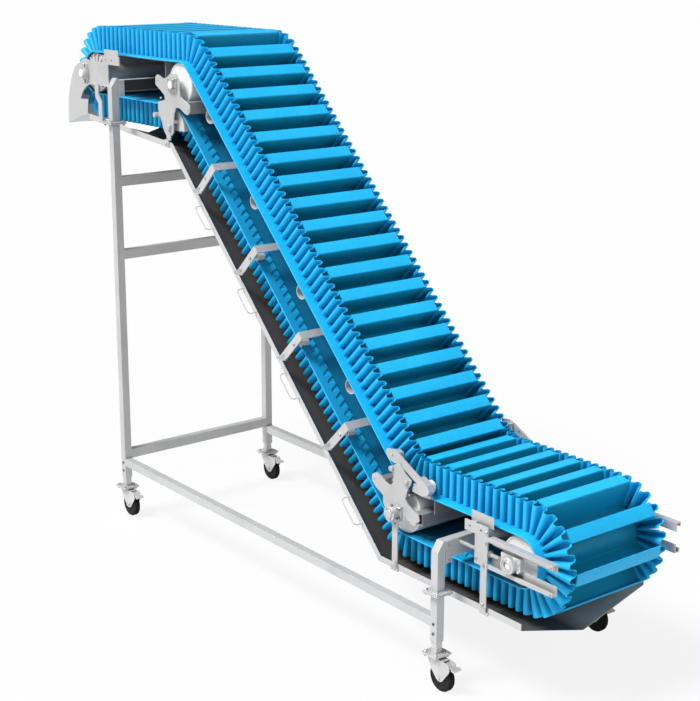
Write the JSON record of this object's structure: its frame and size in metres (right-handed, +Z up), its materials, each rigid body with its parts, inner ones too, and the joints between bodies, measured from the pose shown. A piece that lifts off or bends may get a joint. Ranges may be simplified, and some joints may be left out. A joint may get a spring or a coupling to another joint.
{
  "type": "cleated incline belt conveyor",
  "caption": "Swan-neck incline conveyor: cleated belt with corrugated side walls over drums, on a wheeled steel stand with under-trays and a discharge chute.",
  "frame": {"origin": "floor level, in the middle of the whole length and width", "axes": "+X along the conveyor towards the low infeed end, +Y across it to the far side, +Z up"},
  "size_m": [4.721, 1.2592, 3.181],
  "materials": {
    "belt_rubber": "matte moulded rubber, corrugated side walls and cleats",
    "dark_steel": "dark satin painted sheet",
    "white_roller": "white semi-gloss",
    "roller_plastic": "light grey matte",
    "tyre_black": "black elastic tread on a dark grey hub",
    "zinc_steel": "zinc plated",
    "frame_grey": "satin grey",
    "strap_steel": "satin",
    "plate_steel": "fine blasted satin, laser cut edges",
    "chute_steel": "satin sheet",
    "stand_steel": "satin square tube"
  },
  "bodies": {
    "frame": {"conveyor_belt": "belt_rubber", "head_leg_frame": "stand_steel", "base_rail_near": "stand_steel", "base_rail_far": "stand_steel", "head_leg_post_near": "stand_steel", "head_leg_post_far": "stand_steel", "infeed_leg_post_near": "stand_steel", "infeed_leg_post_far": "stand_steel", "head_cross_channel": "stand_steel", "infeed_cross_channel": "stand_steel", "upper_bend_plate_near": "plate_steel", "upper_bend_plate_far": "plate_steel", "lower_bend_plate_near": "plate_steel", "lower_bend_plate_far": "plate_steel", "upper_bed": "frame_grey", "incline_bed": "frame_grey", "lower_bed": "frame_grey", "head_side_plate_near": "plate_steel", "head_side_plate_far": "plate_steel", "infeed_side_plate_near": "plate_steel", "infeed_side_plate_far": "plate_steel", "deflection_shoe_near": "roller_plastic", "deflection_shoe_far": "roller_plastic", "support_tube_1": "white_roller", "support_tube_2": "white_roller", "support_tube_3": "white_roller", "support_tube_4": "white_roller", "hanger_strap_1": "strap_steel", "hanger_strap_2": "strap_steel", "hanger_strap_3": "strap_steel", "hanger_strap_4": "strap_steel", "incline_pan": "dark_steel", "lower_pan": "dark_steel", "upper_pan": "dark_steel", "discharge_chute": "chute_steel"},
    "head_roller": {"head_drum": "white_roller"},
    "bend_roller": {"upper_bend_drum": "white_roller"},
    "return_roller": {"lower_return_drum": "white_roller"},
    "take_up": {"take_up_block_near": "zinc_steel", "take_up_block_far": "zinc_steel"},
    "tail_roller": {"tail_drum": "white_roller"},
    "hold_down_near": {"hold_down_roller_near": "white_roller"},
    "hold_down_far": {"hold_down_roller_far": "white_roller"},
    "foot_head_near": {"leg_inner_head_near": "zinc_steel"},
    "swivel_head_near": {"caster_fork_head_near": "zinc_steel"},
    "wheel_head_near": {"caster_wheel_head_near": "tyre_black"},
    "brake_head_near": {"caster_pedal_head_near": "zinc_steel"},
    "foot_head_far": {"leg_inner_head_far": "zinc_steel"},
    "swivel_head_far": {"caster_fork_head_far": "zinc_steel"},
    "wheel_head_far": {"caster_wheel_head_far": "tyre_black"},
    "brake_head_far": {"caster_pedal_head_far": "zinc_steel"},
    "foot_infeed_near": {"leg_inner_infeed_near": "zinc_steel"},
    "swivel_infeed_near": {"caster_fork_infeed_near": "zinc_steel"},
    "wheel_infeed_near": {"caster_wheel_infeed_near": "tyre_black"},
    "brake_infeed_near": {"caster_pedal_infeed_near": "zinc_steel"},
    "foot_infeed_far": {"leg_inner_infeed_far": "zinc_steel"},
    "swivel_infeed_far": {"caster_fork_infeed_far": "zinc_steel"},
    "wheel_infeed_far": {"caster_wheel_infeed_far": "tyre_black"},
    "brake_infeed_far": {"caster_pedal_infeed_far": "zinc_steel"}
  },
  "joints": [
    {"name": "head_drum_spin", "type": "hinge", "parent": "frame", "child": "head_roller", "pos_m": [-1.9955, 0, 2.882], "axis": [0, 1, 0], "continuous": true},
    {"name": "upper_bend_drum_spin", "type": "hinge", "parent": "frame", "child": "bend_roller", "pos_m": [-0.9708, 0, 2.882], "axis": [0, 1, 0], "continuous": true},
    {"name": "lower_return_drum_spin", "type": "hinge", "parent": "frame", "child": "return_roller", "pos_m": [1.1755, 0, 0.785], "axis": [0, 1, 0], "continuous": true},
    {"name": "take_up_slide", "type": "slide", "parent": "frame", "child": "take_up", "axis": [1, 0, 0], "range_m": [-0.05, 0]},
    {"name": "tail_drum_spin", "type": "hinge", "parent": "take_up", "child": "tail_roller", "pos_m": [2.0615, 0, 0.785], "axis": [0, 1, 0], "continuous": true},
    {"name": "hold_down_roller_spin_near", "type": "hinge", "parent": "frame", "child": "hold_down_near", "pos_m": [1.3655, -0.378, 0.97], "axis": [0, 1, 0], "continuous": true},
    {"name": "hold_down_roller_spin_far", "type": "hinge", "parent": "frame", "child": "hold_down_far", "pos_m": [1.3655, 0.378, 0.97], "axis": [0, 1, 0], "continuous": true},
    {"name": "leg_height_head_near", "type": "slide", "parent": "frame", "child": "foot_head_near", "axis": [0, 0, 1], "range_m": [-0.15, 0]},
    {"name": "caster_swivel_head_near", "type": "hinge", "parent": "foot_head_near", "child": "swivel_head_near", "pos_m": [-1.4585, -0.57365, 0.18], "axis": [0, 0, 1], "continuous": true},
    {"name": "wheel_spin_head_near", "type": "hinge", "parent": "swivel_head_near", "child": "wheel_head_near", "pos_m": [-1.4085, -0.57365, 0.08], "axis": [0, 1, 0], "continuous": true},
    {"name": "brake_pedal_head_near", "type": "hinge", "parent": "swivel_head_near", "child": "brake_head_near", "pos_m": [-1.3745, -0.57365, 0.166], "axis": [0, 1, 0], "range_deg": [0, 16], "stiffness_Nm_per_rad": 8},
    {"name": "leg_height_head_far", "type": "slide", "parent": "frame", "child": "foot_head_far", "axis": [0, 0, 1], "range_m": [-0.15, 0]},
    {"name": "caster_swivel_head_far", "type": "hinge", "parent": "foot_head_far", "child": "swivel_head_far", "pos_m": [-1.4585, 0.57365, 0.18], "axis": [0, 0, 1], "continuous": true},
    {"name": "wheel_spin_head_far", "type": "hinge", "parent": "swivel_head_far", "child": "wheel_head_far", "pos_m": [-1.4085, 0.57365, 0.08], "axis": [0, 1, 0], "continuous": true},
    {"name": "brake_pedal_head_far", "type": "hinge", "parent": "swivel_head_far", "child": "brake_head_far", "pos_m": [-1.3745, 0.57365, 0.166], "axis": [0, 1, 0], "range_deg": [0, 16], "stiffness_Nm_per_rad": 8},
    {"name": "leg_height_infeed_near", "type": "slide", "parent": "frame", "child": "foot_infeed_near", "axis": [0, 0, 1], "range_m": [-0.15, 0]},
    {"name": "caster_swivel_infeed_near", "type": "hinge", "parent": "foot_infeed_near", "child": "swivel_infeed_near", "pos_m": [1.6645, -0.57365, 0.18], "axis": [0, 0, 1], "continuous": true},
    {"name": "wheel_spin_infeed_near", "type": "hinge", "parent": "swivel_infeed_near", "child": "wheel_infeed_near", "pos_m": [1.7145, -0.57365, 0.08], "axis": [0, 1, 0], "continuous": true},
    {"name": "brake_pedal_infeed_near", "type": "hinge", "parent": "swivel_infeed_near", "child": "brake_infeed_near", "pos_m": [1.7485, -0.57365, 0.166], "axis": [0, 1, 0], "range_deg": [0, 16], "stiffness_Nm_per_rad": 8},
    {"name": "leg_height_infeed_far", "type": "slide", "parent": "frame", "child": "foot_infeed_far", "axis": [0, 0, 1], "range_m": [-0.15, 0]},
    {"name": "caster_swivel_infeed_far", "type": "hinge", "parent": "foot_infeed_far", "child": "swivel_infeed_far", "pos_m": [1.6645, 0.57365, 0.18], "axis": [0, 0, 1], "continuous": true},
    {"name": "wheel_spin_infeed_far", "type": "hinge", "parent": "swivel_infeed_far", "child": "wheel_infeed_far", "pos_m": [1.7145, 0.57365, 0.08], "axis": [0, 1, 0], "continuous": true},
    {"name": "brake_pedal_infeed_far", "type": "hinge", "parent": "swivel_infeed_far", "child": "brake_infeed_far", "pos_m": [1.7485, 0.57365, 0.166], "axis": [0, 1, 0], "range_deg": [0, 16], "stiffness_Nm_per_rad": 8}
  ],
  "couplings": [
    {"joint": "upper_bend_drum_spin", "follows": "head_drum_spin", "ratio": 1},
    {"joint": "lower_return_drum_spin", "follows": "head_drum_spin", "ratio": 1},
    {"joint": "tail_drum_spin", "follows": "head_drum_spin", "ratio": 1},
    {"joint": "hold_down_roller_spin_near", "follows": "head_drum_spin", "ratio": -4.09},
    {"joint": "hold_down_roller_spin_far", "follows": "head_drum_spin", "ratio": -4.09}
  ]
}
